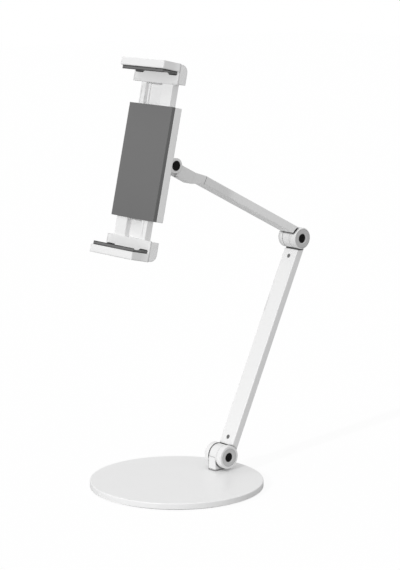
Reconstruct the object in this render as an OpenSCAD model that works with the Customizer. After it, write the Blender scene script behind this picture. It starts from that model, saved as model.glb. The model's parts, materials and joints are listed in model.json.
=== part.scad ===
/* [Base] */
// Diameter of the round base
base_d = 200; // [180:5:220]
// Height of the steel plate with its pad
base_h = 7.8; // [7:0.1:12]
// Thickness of the rubber pad under the plate
base_pad_t = 1.2; // [1:0.1:1.6]
// Distance of the lower hinge behind the centre
hinge_back = 68; // [55:1:75]
// Height of the lower hinge axis above the table
hinge_h = 24; // [23:0.5:28]

/* [Arms] */
// Lower arm, hinge axis to elbow axis
lower_len = 272; // [220:1:320]
// Lean of the lower arm behind the vertical
lower_lean = 24.8; // [15:0.1:35]
// Upper arm, elbow axis to tilt axis
upper_len = 216; // [180:1:260]
// Rise of the upper arm above the horizontal
upper_rise = 26.9; // [20:0.1:35]
// Width of both arm tubes
tube_w = 23; // [22:0.5:24]
// Depth of both arm tubes
tube_t = 9.4; // [9:0.1:9.8]
// Wall of the tubes
tube_wall = 1.2; // [1:0.1:1.4]
// How far the tubes sit behind the hinge line, so that they fold flat
fold_gap = 1.2; // [1:0.1:1.5]

/* [Hinges] */
// Radius of the lower hinge barrel
lower_r = 13.7; // [13.4:0.1:14]
// Radius of the elbow barrel
elbow_r = 12.6; // [12.4:0.1:13.2]
// Half length of both barrels
barrel_half = 14.4; // [14.2:0.1:15]
// Radius of the tilt hinge bosses
boss_r = 8.5; // [8.2:0.1:8.8]
// Tilt axis above the line of the upper arm
tilt_rise = 4.3; // [4:0.1:4.6]

/* [Head] */
// Lean of the tablet holder behind the vertical
head_tilt = 12.5; // [0:0.5:20]
// Width of the holder
head_w = 73.8; // [72:0.2:76]
// Height of the holder without its jaws
head_h = 127; // [125:1:140]
// Depth of the sides of the soft pad
pad_t = 4.7; // [4.3:0.1:5]
// Depth of the white shell behind those sides
housing_t = 9.2; // [9:0.1:9.8]
// Tilt axis behind the face of the pad
tilt_back = 43; // [41:0.5:46]
// How far the upper jaw stands out of the holder
upper_out = 24.3; // [20.3:0.5:26.3]
// How far the lower jaw stands out of the holder
lower_out = 21.2; // [20.2:0.5:26.2]

/* [Hidden] */
$fn = 64;
e = 0.01;

// Fits
slip = 0.05;
gap = 0.3;
thread_r = 1.5;
screw_head_r = 2.2;

// Barrel along X: far cheek, middle knuckle, near cheek
knuckle_x0 = -6.9;
lower_knuckle_x1 = 6.9;
lower_knuckle_r = lower_r - 0.7;
elbow_knuckle_x1 = 4.4;
washer_t = 0.25;
bolt_r = 3;
bolt_head_r = 5.2;
bolt_head_h = 4;
plug_r = 5.4;
plug_depth = 1.5;
nut_r = 5.77;
nut_h = 5;
ring_t = 0.8;

// Tube ends are cut round the barrels, and a screw holds each insert
lower_mouth_r = lower_r + 0.6;
elbow_mouth_r = elbow_r + 1.8;
screw_at = 23.1;
tube_screw_r = 2.5;
insert_len = 34;
insert_w = tube_w - 2 * tube_wall - 0.2;
insert_t = tube_t - 2 * tube_wall - 0.2;
insert_y = fold_gap + tube_wall + 0.1;
insert_clear = 0.5;
screw_hole_deep = 7.5;

// Neck at the head end of the upper arm
neck_start = upper_len - 46;
neck_step = neck_start + 14;
neck_end = upper_len - 7;
neck_insert = 24;
neck_screw = 12;
neck_half_w = 7;
neck_top = 8.7;
neck_low = -4.7;
slot_half = 4;
slot_deep = 8;
boss_half = 9.5;
tilt_bolt_r = 2.5;
cap_r = 5.7;
cap_seat = 3.2;

// Depths in the holder, measured back from the face of the pad
pad_sheet = 1.3;
pad_side = 1;
plate_t = 1;
plate_back = pad_sheet + plate_t;
rail_y = plate_back + 0.2;
shell_back = pad_t + housing_t;
shell_wall = 3.1;
shell_side = 2;
shell_in = shell_back - shell_wall;
rail_back = shell_in - 0.2;
rail_t = rail_back - rail_y;

// Rails: a wide flange, a channel and a narrow rib, set towards the flange
rail_w = 54;
rail_shift = 2.2;
rail_x0 = -rail_w / 2 - rail_shift;
rail_x1 = rail_w / 2 - rail_shift;
flange_w = 18.7;
lower_rib_w = 9.9;
upper_rib_w = 7.9;
lower_slit = 6.3;
upper_slit = 1.8;
slit_w = 0.6;
slit_deep = 1.2;
slit_short = 5;
rail_floor = 2;
ledge_w = 2.5;
ledge_h = 1.4;
rail_in = 30;
rail_seat = 13;
tongue_t = 3.2;
tongue_out = 20;
rail_screw_out = 17.4;

// Rack and pinion
tooth_pitch = 3.14159;
pinion_teeth = 12;
pitch_r = pinion_teeth * tooth_pitch / (2 * 3.14159);
rack_y = rail_y + 0.2;
rack_t = 3.4;
rack_back = 14.5;
rack_root = 6;
rack_reach = 19;
tooth_up = 0.85;
tooth_down = 1.1;

// Jaws
jaw_w = 76.6;
lip_w = 73.4;
flare_y = -9;
wall_y = 0.8;
lip_y = -22.3;
lip_t = 8.9;
lip_corner = 1.2;
seam_y = 1.4;
shelf_out = 14.4;
jaw_screw_out = 9;
cover_wall = 1.3;
cover_back = rail_back + 0.1 + cover_wall;
cover_start = 1;
cover_short = 0.7;
cover_round = 8.5;
grip_w = 69.6;
grip_front = 4;
grip_t = 2;
grip_slope = 4.3;
tab_t = 1.8;
tab_up = 4.3;
tab_in = 20.5;
tab_top_in = 24;

function arc(cx, cy, r, a0, a1, n = 8) =
  [for (i = [0:n]) [cx + r * cos(a0 + (a1 - a0) * i / n), cy + r * sin(a0 + (a1 - a0) * i / n)]];

function round_box(x0, x1, y0, y1, r) = concat(
  arc(x1 - r, y1 - r, r, 0, 90), arc(x0 + r, y1 - r, r, 90, 180),
  arc(x0 + r, y0 + r, r, 180, 270), arc(x1 - r, y0 + r, r, 270, 360));

// Frames of the moving assemblies
module at_lower_hinge() { translate([0, hinge_back, hinge_h]) children(); }
module along_lower_arm() { at_lower_hinge() rotate([-lower_lean, 0, 0]) children(); }
module at_elbow() { along_lower_arm() translate([0, 0, lower_len]) children(); }
module along_upper_arm() { at_elbow() rotate([90 - upper_rise + lower_lean, 0, 0]) children(); }

elbow_y = hinge_back + lower_len * sin(lower_lean);
elbow_z = hinge_h + lower_len * cos(lower_lean);
tilt_y = elbow_y - upper_len * cos(upper_rise) + tilt_rise * sin(upper_rise);
tilt_z = elbow_z + upper_len * sin(upper_rise) + tilt_rise * cos(upper_rise);
module at_tilt() { translate([0, tilt_y, tilt_z]) children(); }
// In the holder X runs across, Y back from the face of the pad and Z up
pivot_up = 1.7;
module in_head() { at_tilt() rotate([-head_tilt, 0, 0]) translate([0, -tilt_back, -pivot_up]) children(); }

// A disc or ring along X
module disc_x(r, x0, x1) { translate([x0, 0, 0]) rotate([0, 90, 0]) cylinder(r = r, h = x1 - x0); }
// A disc along X whose outer edge at x1 is rounded
module round_disc_x(r, x0, x1, edge) {
  long = abs(x1 - x0);
  translate([x0, 0, 0]) rotate([0, x1 > x0 ? 90 : -90, 0])
    rotate_extrude()
      polygon(concat([[0, 0], [r, 0]], arc(r - edge, long - edge, edge, 0, 90, 6), [[0, long]]));
}
// A profile in the Y-Z plane, drawn along X
module along_x(x0, x1) { translate([x0, 0, 0]) rotate([90, 0, 90]) linear_extrude(x1 - x0) children(); }
// A screw along Z, its head above the origin
module screw(head_r, head_h, long) {
  difference() {
    cylinder(r = head_r, h = head_h);
    translate([0, 0, head_h * 0.45]) cylinder(r = head_r * 0.55, h = head_h, $fn = 6);
  }
  translate([0, 0, -long]) cylinder(r = thread_r, h = long + e);
}

// Base
module base_plate() {
  edge = 1;
  color("white") difference() {
    rotate_extrude($fn = 128) polygon(concat([[0, base_pad_t], [base_d / 2, base_pad_t]],
      arc(base_d / 2 - edge, base_h - edge, edge, 0, 90, 4), [[0, base_h]]));
    for (y = lug_screw_y) translate([lug_mid, y, 0]) {
      cylinder(r = thread_r + slip, h = base_h + 1);
      translate([0, 0, -e]) cylinder(r = lug_head_r + slip, h = base_pad_t + 2.1);
    }
  }
}
module base_pad() {
  color("dimgray") difference() {
    cylinder(r = base_d / 2 - 3, h = base_pad_t, $fn = 128);
    for (y = lug_screw_y) translate([lug_mid, y, -e]) cylinder(r = lug_head_r + 0.3, h = 2);
  }
}
lug_front = -13.3;
lug_rear = 9.5;
lug_x0 = -8.3;
lug_x1 = 4.5;
lug_mid = (lug_x0 + lug_x1) / 2;
lug_screw_y = [hinge_back + lug_front + 5, hinge_back + lug_rear - 5];
lug_head_r = 2.8;
module pivot_lug() {
  color("white") difference() {
    at_lower_hinge() union() {
      disc_x(lower_knuckle_r, knuckle_x0, lower_knuckle_x1);
      difference() {
        translate([0, 0, base_h - hinge_h]) linear_extrude(hinge_h - base_h)
          polygon(round_box(lug_x0, lug_x1, lug_front, lug_rear, 1.6));
        disc_x(lower_r + insert_clear, -20, knuckle_x0);
      }
    }
    at_lower_hinge() disc_x(bolt_r + slip, knuckle_x0 - 1, lower_knuckle_x1 + 1);
    for (y = lug_screw_y) translate([lug_mid, y, base_h - e]) cylinder(r = thread_r + slip, h = 9.5);
  }
}
module lug_screws() {
  color("gray") for (y = lug_screw_y) translate([lug_mid, y, base_pad_t + 2]) rotate([180, 0, 0])
    screw(lug_head_r, 1.6, 13);
}

// Hinge hardware, drawn at the hinge axis
cheek_far = -barrel_half;
cheek_near = barrel_half;
head_seat = cheek_near - plug_depth - 0.8 - bolt_head_h;
module hinge_bolt() {
  color("silver") {
    disc_x(bolt_r, cheek_far + 1, head_seat + e);
    disc_x(bolt_head_r, head_seat, head_seat + bolt_head_h);
  }
}
module hinge_nut() {
  color("silver") difference() {
    rotate([0, 90, 0]) translate([0, 0, cheek_far + 0.6]) cylinder(r = nut_r, h = nut_h, $fn = 6);
    disc_x(bolt_r + slip, cheek_far - 1, cheek_far + nut_h + 2);
  }
}
module hinge_washers(near_x) {
  color("gray") for (x = [knuckle_x0 - washer_t - 0.02, near_x + 0.02]) difference() {
    disc_x(9, x, x + washer_t);
    disc_x(bolt_r + slip, x - 1, x + 1);
  }
}
module hinge_ring(r) {
  color("darkgray") difference() {
    disc_x(r, cheek_near - ring_t, cheek_near);
    disc_x(plug_r + slip, cheek_near - 2, cheek_near + 1);
  }
}
module hinge_plug() {
  color("black") disc_x(plug_r, cheek_near - plug_depth - 0.7, cheek_near - plug_depth);
}
// Two cheeks with their seats, and the insert that fills the tube
module fork_end(r, ring_r, edge, near_x) {
  color("white") difference() {
    union() {
      round_disc_x(r, knuckle_x0 - gap, cheek_far, edge);
      round_disc_x(r, near_x + gap, cheek_near, edge);
      difference() {
        translate([-insert_w / 2, insert_y, 0]) cube([insert_w, insert_t, insert_len]);
        disc_x(r + insert_clear, knuckle_x0 - gap, near_x + gap);
      }
    }
    disc_x(bolt_r + slip, cheek_far - 1, cheek_near + 1);
    disc_x(plug_r + slip, head_seat, cheek_near + 1);
    disc_x(ring_r + slip, cheek_near - ring_t, cheek_near + 1);
    rotate([0, 90, 0]) translate([0, 0, cheek_far - 1]) cylinder(r = nut_r + 0.1, h = nut_h + 1.6, $fn = 6);
    translate([0, fold_gap, screw_at]) rotate([-90, 0, 0]) cylinder(r = thread_r + slip, h = screw_hole_deep);
  }
}
// A tube with its ends cut round the barrels
module tube_profile() {
  difference() {
    polygon(round_box(-tube_w / 2, tube_w / 2, fold_gap, fold_gap + tube_t, 1.2));
    translate([-tube_w / 2 + tube_wall, fold_gap + tube_wall])
      square([tube_w - 2 * tube_wall, tube_t - 2 * tube_wall]);
  }
}
// A sunk screw in the wall of a tube, its head outwards, and the hole it sits in
sink = 0.7;
module tube_screw() { translate([0, 0, -sink]) screw(tube_screw_r, sink - 0.1, 5.5); }
module tube_screw_hole() {
  translate([0, 0, -sink]) cylinder(r = tube_screw_r + slip, h = 3);
  translate([0, 0, -3]) cylinder(r = thread_r + slip, h = 3);
}
module on_tube_front(z) { translate([0, fold_gap, z]) rotate([90, 0, 0]) children(); }
module on_tube_back(z) { translate([0, fold_gap + tube_t, z]) rotate([-90, 0, 0]) children(); }

// Lower arm
ring_lower_r = 10.6;
ring_elbow_r = 11.2;
hinge_edge = 1;
module lower_tube() {
  along_lower_arm() color("white") difference() {
    linear_extrude(lower_len) tube_profile();
    disc_x(lower_mouth_r, -20, 20);
    translate([0, 0, lower_len]) disc_x(elbow_mouth_r, -20, 20);
    for (z = [screw_at, lower_len - screw_at]) on_tube_front(z) tube_screw_hole();
  }
}
module lower_fork() { along_lower_arm() fork_end(lower_r, ring_lower_r, hinge_edge, lower_knuckle_x1); }
module elbow_fork() {
  at_elbow() mirror([0, 0, 1]) fork_end(elbow_r, ring_elbow_r, hinge_edge, elbow_knuckle_x1);
}
module lower_tube_screws() {
  along_lower_arm() color("gray") for (z = [screw_at, lower_len - screw_at]) on_tube_front(z) tube_screw();
}
module lower_hinge_bolt() { along_lower_arm() hinge_bolt(); }
module lower_hinge_nut() { along_lower_arm() hinge_nut(); }
module lower_hinge_washers() { along_lower_arm() hinge_washers(lower_knuckle_x1); }
module lower_hinge_ring() { along_lower_arm() hinge_ring(ring_lower_r); }
module lower_hinge_plug() { along_lower_arm() hinge_plug(); }
module elbow_bolt() { at_elbow() hinge_bolt(); }
module elbow_nut() { at_elbow() hinge_nut(); }
module elbow_washers() { at_elbow() hinge_washers(elbow_knuckle_x1); }
module elbow_ring() { at_elbow() hinge_ring(ring_elbow_r); }
module elbow_plug() { at_elbow() hinge_plug(); }

// Upper arm
upper_screw_z = [screw_at, neck_start - neck_screw];
module upper_tube() {
  along_upper_arm() color("gainsboro") difference() {
    linear_extrude(neck_start) tube_profile();
    disc_x(elbow_mouth_r, -20, 20);
    for (z = upper_screw_z) on_tube_back(z) tube_screw_hole();
  }
}
module elbow_tongue() {
  along_upper_arm() color("white") difference() {
    union() {
      disc_x(elbow_r, knuckle_x0, elbow_knuckle_x1);
      difference() {
        translate([-insert_w / 2, insert_y, 0]) cube([insert_w, insert_t, insert_len]);
        disc_x(elbow_r + insert_clear, -20, knuckle_x0);
        disc_x(elbow_r + insert_clear, elbow_knuckle_x1, 20);
      }
    }
    disc_x(bolt_r + slip, knuckle_x0 - 1, elbow_knuckle_x1 + 1);
    translate([0, fold_gap + tube_t, screw_at]) rotate([90, 0, 0])
      cylinder(r = thread_r + slip, h = screw_hole_deep);
  }
}
module neck_fork() {
  along_upper_arm() color("lightgray") difference() {
    union() {
      translate([-insert_w / 2, insert_y, neck_start - neck_insert])
        cube([insert_w, insert_t, neck_insert + 2]);
      hull() {
        translate([0, 0, neck_start + 0.05]) linear_extrude(0.5)
          polygon(round_box(-tube_w / 2, tube_w / 2, fold_gap, fold_gap + tube_t, 1.2));
        translate([-neck_half_w, neck_low, neck_step - 0.5])
          cube([2 * neck_half_w, neck_top - neck_low, 0.5]);
      }
      translate([-neck_half_w, neck_low, neck_step - e])
        cube([2 * neck_half_w, neck_top - neck_low, neck_end - neck_step]);
      translate([0, tilt_rise, upper_len]) disc_x(boss_r, -boss_half, boss_half);
    }
    translate([0, tilt_rise, upper_len]) {
      disc_x(tilt_bolt_r + slip, -20, 20);
      for (side = [-1, 1]) translate([side * boss_half, 0, 0]) disc_x(cap_r + slip, -cap_seat, cap_seat);
      disc_x(boss_r + 0.7, -slot_half, slot_half);
    }
    translate([-slot_half, neck_low - 1, neck_end - slot_deep])
      cube([2 * slot_half, neck_top - neck_low + 2, slot_deep + 2 * boss_r]);
    translate([0, fold_gap + tube_t, upper_screw_z[1]]) rotate([90, 0, 0])
      cylinder(r = thread_r + slip, h = screw_hole_deep);
  }
}
module upper_tube_screws() {
  along_upper_arm() color("gray") for (z = upper_screw_z) on_tube_back(z) tube_screw();
}
module along_tilt() { along_upper_arm() translate([0, tilt_rise, upper_len]) children(); }
tilt_seat = boss_half - cap_seat;
module tilt_bolt() {
  along_tilt() color("silver") {
    disc_x(tilt_bolt_r, -tilt_seat - 2, tilt_seat + e);
    disc_x(4.4, tilt_seat, tilt_seat + 2);
  }
}
module tilt_nut() {
  along_tilt() color("silver") difference() {
    translate([-tilt_seat - 2.2, 0, 0]) rotate([0, 90, 0]) cylinder(r = 4.6, h = 2.2, $fn = 6);
    disc_x(tilt_bolt_r + slip, -20, 0);
  }
}
module tilt_washers() {
  along_tilt() color("gray") for (x = [-slot_half, slot_half - washer_t]) difference() {
    disc_x(6.5, x, x + washer_t);
    disc_x(tilt_bolt_r + slip, x - 1, x + 1);
  }
}
module tilt_caps() {
  along_tilt() color("black") for (side = [0, 1]) mirror([side, 0, 0])
    round_disc_x(cap_r, boss_half - 0.9, boss_half + 0.5, 0.5);
}

// Bracket between the neck and the holder
swivel_r = 17;
hub_r = 6;
tongue_half = slot_half - gap;
module tilt_bracket() {
  color("lightgray") in_head() difference() {
    union() {
      translate([0, shell_back + 0.2, 0]) rotate([-90, 0, 0]) rotate_extrude()
        polygon(concat([[0, 0], [swivel_r, 0]], arc(swivel_r - 1.5, 2.5, 1.5, 0, 90, 4), [[0, 4]]));
      translate([0, swivel_washer_y, 0]) rotate([-90, 0, 0]) cylinder(r = hub_r, h = shell_wall + 1);
      translate([0, shell_back + 4, 0]) rotate([-90, 0, 0]) rotate_extrude()
        polygon(concat([[0, -e], [12, -e]], arc(12, 4, 4, 270, 180, 4), [[8, 6], [0, 6]]));
      along_x(-tongue_half, tongue_half) polygon([[shell_back + 3, -9], [tilt_back, pivot_up - boss_r + 0.6],
        [tilt_back, pivot_up + boss_r - 0.6], [shell_back + 3, 9]]);
      translate([0, tilt_back, pivot_up]) disc_x(boss_r - 0.5, -tongue_half, tongue_half);
    }
    translate([0, tilt_back, pivot_up]) disc_x(tilt_bolt_r + slip, -20, 20);
    translate([0, shell_back - 5, 0]) rotate([-90, 0, 0]) cylinder(r = thread_r + slip, h = 17);
  }
}
swivel_washer_y = shell_in - 0.2;
module swivel_washer() {
  color("gray") in_head() translate([0, swivel_washer_y, 0]) rotate([90, 0, 0]) difference() {
    cylinder(r = 8.5, h = 0.9);
    translate([0, 0, -1]) cylinder(r = thread_r + slip, h = 3);
  }
}
module swivel_screw() {
  color("silver") in_head() translate([0, swivel_washer_y - 0.9, 0]) rotate([90, 0, 0]) screw(3.4, 1.4, 14);
}

// Holder
guide_t = 1.4;
centre_half = 8;
boss_x = head_w / 2 - 4.2;
boss_z = head_h / 2 - 9;
housing_screw_seat = shell_back - 1.6;
// The room in which the lower rail slides, with extra width on both sides
module rail_room(extra, z0, z1) {
  translate([rail_x0 - gap - extra, plate_back, z0])
    cube([rail_w + 2 * gap + 2 * extra, shell_in - plate_back, z1 - z0]);
}
module at_bosses() {
  for (x = [-boss_x, boss_x], z = [-boss_z, boss_z]) translate([x, 0, z]) rotate([-90, 0, 0]) children();
}
// Outside of the shell, stepped at the sides where the pad wraps round it
module shell_outside() {
  neck = head_w / 2 - pad_side - slip;
  translate([-neck, plate_back, -head_h / 2]) cube([2 * neck, shell_wall, head_h]);
  translate([0, pad_t, 0]) rotate([-90, 0, 0]) linear_extrude(housing_t)
    polygon(round_box(-head_w / 2, head_w / 2, -head_h / 2, head_h / 2, 1));
}
module rear_housing() {
  inner = head_w / 2 - shell_side;
  color("white") in_head() difference() {
    union() {
      difference() {
        shell_outside();
        translate([-inner, plate_back - 1, -head_h / 2 + shell_side])
          cube([2 * inner, shell_in - plate_back + 1, head_h - 2 * shell_side]);
      }
      for (turn = [0, 180]) rotate([0, turn, 0]) rail_room(guide_t, -head_h / 2, -centre_half);
      at_bosses() translate([0, 0, plate_back]) cylinder(r = 2.8, h = shell_wall + shell_in - plate_back - 1);
    }
    for (turn = [0, 180]) rotate([0, turn, 0]) rail_room(0, -head_h, centre_half);
    translate([0, shell_in - 2, 0]) rotate([-90, 0, 0]) cylinder(r = hub_r + slip, h = 10);
    at_bosses() {
      cylinder(r = thread_r + slip, h = 30);
      translate([0, 0, housing_screw_seat]) cylinder(r = screw_head_r + 0.6, h = 5);
    }
  }
}
module front_plate() {
  inner = head_w / 2 - pad_side - 0.1;
  color("white") in_head() difference() {
    translate([-inner, pad_sheet, -head_h / 2]) cube([2 * inner, plate_t, head_h]);
    translate([0, -1, 0]) rotate([-90, 0, 0]) cylinder(r = pin_r + slip, h = 20);
    at_bosses() cylinder(r = thread_r + slip, h = 20);
  }
}
module back_pad() {
  w = head_w / 2;
  color("dimgray") in_head() translate([0, 0, -head_h / 2]) linear_extrude(head_h)
    polygon([[-w, 0], [w, 0], [w, pad_t], [w - pad_side, pad_t], [w - pad_side, pad_sheet],
      [-w + pad_side, pad_sheet], [-w + pad_side, pad_t], [-w, pad_t]]);
}
module housing_screws() {
  color("gray") in_head() at_bosses() translate([0, 0, housing_screw_seat])
    screw(screw_head_r + 0.4, 1.3, housing_screw_seat - pad_sheet - 0.3);
}
pin_r = 1.5;
module pinion_pin() {
  pin_end = rack_y + rack_t + 0.1;
  color("silver") in_head() rotate([-90, 0, 0]) {
    translate([0, 0, pad_sheet]) cylinder(r = pin_r, h = pin_end + 0.2 - pad_sheet);
    translate([0, 0, pin_end]) cylinder(r = 2.2, h = 0.4);
  }
}
// Trapezoid teeth with a little backlash
module pinion_2d() {
  root = pitch_r - tooth_down;
  tip = pitch_r + tooth_up;
  circle(r = root, $fn = 36);
  for (i = [0:pinion_teeth - 1]) rotate((i + 0.5) * 360 / pinion_teeth)
    polygon([[root - 0.6, -1.15], [pitch_r, -0.62], [tip, -0.3],
      [tip, 0.3], [pitch_r, 0.62], [root - 0.6, 1.15]]);
}
module sync_pinion() {
  color("ivory") in_head() translate([0, rack_y + rack_t, 0]) rotate([90, 0, 0]) difference() {
    linear_extrude(rack_t) pinion_2d();
    translate([0, 0, -1]) cylinder(r = pin_r + slip, h = 6);
  }
}

// Rails, drawn for the lower jaw with the free end at the top
module rail(out, rib_w, slit) {
  edge = head_h / 2 + out;
  inner_end = rail_in - head_h / 2;
  difference() {
    union() {
      difference() {
        translate([rail_x0, rail_y, -edge - rail_seat]) cube([rail_w, rail_t, inner_end + edge + rail_seat]);
        translate([rail_x0 + flange_w, rail_y - 1, -edge])
          cube([rail_w - flange_w - rib_w, rail_t - rail_floor + 1, edge + inner_end + 1]);
        translate([rail_x1 - slit - slit_w / 2, rail_y - 1, -edge + slit_short])
          cube([slit_w, slit_deep + 1, edge + inner_end]);
      }
      translate([rail_x1 - rib_w - ledge_w, rail_back - rail_floor - ledge_h, -edge - e])
        cube([ledge_w + e, ledge_h + e, edge + inner_end + e]);
      translate([rail_x0 + 2, rail_y, -edge - tongue_out])
        cube([rail_w - 4, tongue_t, tongue_out - rail_seat + e]);
      rack(inner_end);
    }
    for (x = rail_screw_x) translate([x, 0, -edge - rail_screw_out]) rotate([-90, 0, 0])
      cylinder(r = thread_r + slip, h = 30);
  }
}
// The rack starts inside its own rail and reaches into the channel of the other one
module rack(inner_end) {
  translate([-rack_back, rack_y, inner_end - rack_root])
    cube([rack_back - pitch_r - tooth_down, rack_t, rack_reach - inner_end + rack_root]);
  for (z = [ceil(inner_end / tooth_pitch) : floor(rack_reach / tooth_pitch) - 1])
    translate([-pitch_r, rack_y, z * tooth_pitch]) rack_tooth();
}
module rack_tooth() {
  translate([0, rack_t, 0]) rotate([90, 0, 0]) linear_extrude(rack_t)
    polygon([[-tooth_down - 0.3, -1.1], [0, -0.65], [tooth_up, -0.35],
      [tooth_up, 0.35], [0, 0.65], [-tooth_down - 0.3, 1.1]]);
}
rail_screw_x = [rail_x0 + 8, rail_x1 - 8];
module rail_screws(out) {
  color("gray") for (x = rail_screw_x) translate([x, rail_y + tongue_t, -head_h / 2 - out - rail_screw_out])
    rotate([-90, 0, 0]) screw(screw_head_r, 1.4, 8.5);
}

// Jaws, drawn for the lower one
// Plan of a jaw, its sides flaring towards the seam
module jaw_plan() {
  wide = (jaw_w - lip_w) / 2;
  long = seam_y - flare_y;
  r = (wide * wide + long * long) / (2 * wide);
  turn = asin(long / r);
  polygon(concat(arc(-lip_w / 2 - r, flare_y, r, turn, 0),
    arc(-lip_w / 2 + lip_corner, lip_y + lip_corner, lip_corner, 180, 270),
    arc(lip_w / 2 - lip_corner, lip_y + lip_corner, lip_corner, 270, 360),
    arc(lip_w / 2 + r, flare_y, r, 180, 180 - turn)));
}
module jaw_frame(out) {
  edge = head_h / 2 + out;
  shelf = edge + shelf_out;
  top = shelf + lip_t;
  inside = jaw_w / 2 - cover_wall - 0.2;
  cover_room = top - edge - cover_short - cover_start - 2 * cover_wall - 0.4;
  difference() {
    union() {
      intersection() {
        along_x(-jaw_w / 2, jaw_w / 2) polygon(concat(
          [[seam_y, -edge], [wall_y, -edge], [wall_y, -shelf + fillet]],
          arc(wall_y - fillet, -shelf + fillet, fillet, 0, -90, 4),
          [[lip_y, -shelf]], arc(lip_y + 1, -top + 1, 1, 180, 270, 4), [[seam_y, -top]]));
        translate([0, 0, -top - 1]) linear_extrude(top - edge + 2) jaw_plan();
      }
      translate([rail_x0, seam_y - e, -edge - tongue_out]) cube([rail_w, rail_y - seam_y + e, tongue_out]);
      translate([-inside, seam_y - e, -top + cover_short + cover_wall + 0.2])
        cube([2 * inside, rail_y - seam_y + e, cover_room]);
      at_jaw_screws(out) translate([0, 0, seam_y]) cylinder(r = 2.8, h = jaw_boss_y - seam_y);
    }
    for (x = rail_screw_x) translate([x, rail_y + e, -edge - rail_screw_out]) rotate([90, 0, 0])
      cylinder(r = thread_r + slip, h = 6);
    at_jaw_screws(out) translate([0, 0, jaw_screw_seat - 8]) cylinder(r = thread_r + slip, h = 9);
  }
}
fillet = 1.2;
jaw_boss_y = seam_y + 6;
jaw_screw_seat = cover_back - 1.8;
// Both cover screws, with Z running back from the face of the pad
module at_jaw_screws(out) {
  for (side = [-1, 1]) translate([side * (jaw_w / 2 - 5), 0, -head_h / 2 - out - jaw_screw_out])
    rotate([-90, 0, 0]) children();
}
module jaw_cover(out) {
  difference() {
    union() {
      jaw_cover_shell(out);
      at_jaw_screws(out) translate([0, 0, jaw_boss_y + 0.1])
        cylinder(r = 3.4, h = cover_back - cover_wall - jaw_boss_y);
    }
    at_jaw_screws(out) {
      cylinder(r = thread_r + slip, h = 30);
      translate([0, 0, jaw_screw_seat]) cylinder(r = screw_head_r + slip, h = 5);
    }
  }
}
module jaw_cover_shell(out) {
  start = head_h / 2 + out + cover_start;
  end = head_h / 2 + out + shelf_out + lip_t - cover_short;
  mid_y = cover_back - cover_round;
  difference() {
    along_x(-jaw_w / 2, jaw_w / 2) polygon(concat([[seam_y + slip, -start], [seam_y + slip, -end]],
      arc(mid_y, -end + cover_round, cover_round, 270, 360, 8), [[cover_back, -start]]));
    along_x(-jaw_w / 2 + cover_wall, jaw_w / 2 - cover_wall) polygon(concat(
      [[seam_y - 1, -start - cover_wall], [seam_y - 1, -end + cover_wall]],
      arc(mid_y, -end + cover_round, cover_round - cover_wall, 270, 360, 8),
      [[cover_back - cover_wall, -start - cover_wall]]));
    translate([rail_x0 - 0.2, seam_y - 1, -start - 2 * cover_wall])
      cube([rail_w + 0.4, rail_back + 0.1 - seam_y + 1, 3 * cover_wall]);
  }
}
module jaw_screws(out) {
  color("gray") at_jaw_screws(out) translate([0, 0, jaw_screw_seat]) screw(screw_head_r, 1.4, 7);
}
module jaw_grip(out) {
  w = grip_w / 2;
  shelf = head_h / 2 + out + shelf_out - 0.02;
  front = lip_y + 1.6;
  rear = wall_y - 0.1;
  color("dimgray") {
    along_x(-w, w) polygon([[front, -shelf], [front, -shelf + grip_front], [front + 0.8, -shelf + grip_front],
      [front + grip_slope, -shelf + grip_t], [rear, -shelf + grip_t], [rear, -shelf + fillet],
      [rear - fillet, -shelf + fillet], [rear - fillet, -shelf]]);
    for (side = [0, 1]) mirror([side, 0, 0]) translate([0, rear, 0]) rotate([90, 0, 0]) linear_extrude(tab_t)
      polygon([[tab_in, -shelf + grip_t - e], [w, -shelf + grip_t - e], [w, -shelf + tab_up],
        [tab_top_in, -shelf + tab_up]]);
  }
}

// The upper jaw and rail are the lower ones turned half round in the holder
module turned() { in_head() rotate([0, 180, 0]) children(); }
module lower_rail() { color("white") in_head() rail(lower_out, lower_rib_w, lower_slit); }
module lower_rail_screws() { in_head() rail_screws(lower_out); }
module lower_jaw_frame() { color("white") in_head() jaw_frame(lower_out); }
module lower_jaw_cover() { color("lightgray") in_head() jaw_cover(lower_out); }
module lower_jaw_screws() { in_head() jaw_screws(lower_out); }
module lower_grip() { in_head() jaw_grip(lower_out); }
module upper_rail() { color("white") turned() rail(upper_out, upper_rib_w, upper_slit); }
module upper_rail_screws() { turned() rail_screws(upper_out); }
module upper_jaw_frame() { color("white") turned() jaw_frame(upper_out); }
module upper_jaw_cover() { color("lightgray") turned() jaw_cover(upper_out); }
module upper_jaw_screws() { turned() jaw_screws(upper_out); }
module upper_grip() { turned() jaw_grip(upper_out); }

base_plate();
base_pad();
pivot_lug();
lug_screws();
lower_tube();
lower_fork();
elbow_fork();
lower_tube_screws();
lower_hinge_bolt();
lower_hinge_nut();
lower_hinge_washers();
lower_hinge_ring();
lower_hinge_plug();
elbow_bolt();
elbow_nut();
elbow_washers();
elbow_ring();
elbow_plug();
upper_tube();
elbow_tongue();
neck_fork();
upper_tube_screws();
tilt_bolt();
tilt_nut();
tilt_washers();
tilt_caps();
tilt_bracket();
swivel_washer();
swivel_screw();
rear_housing();
front_plate();
back_pad();
housing_screws();
pinion_pin();
sync_pinion();
upper_rail();
upper_rail_screws();
upper_jaw_frame();
upper_jaw_cover();
upper_jaw_screws();
upper_grip();
lower_rail();
lower_rail_screws();
lower_jaw_frame();
lower_jaw_cover();
lower_jaw_screws();
lower_grip();
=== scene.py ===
# %% [markdown]
# A desk stand for a tablet, dressed for the camera. The construction comes packed as a fixed frame:
# every part already has its place and rides on the body that moves it. This script adds the finishes,
# models the soft and turned pieces that deserve a finer shape, and sets the light and the camera.

import json
import math

import bmesh
import bpy
from mathutils import Matrix, Vector


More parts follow.
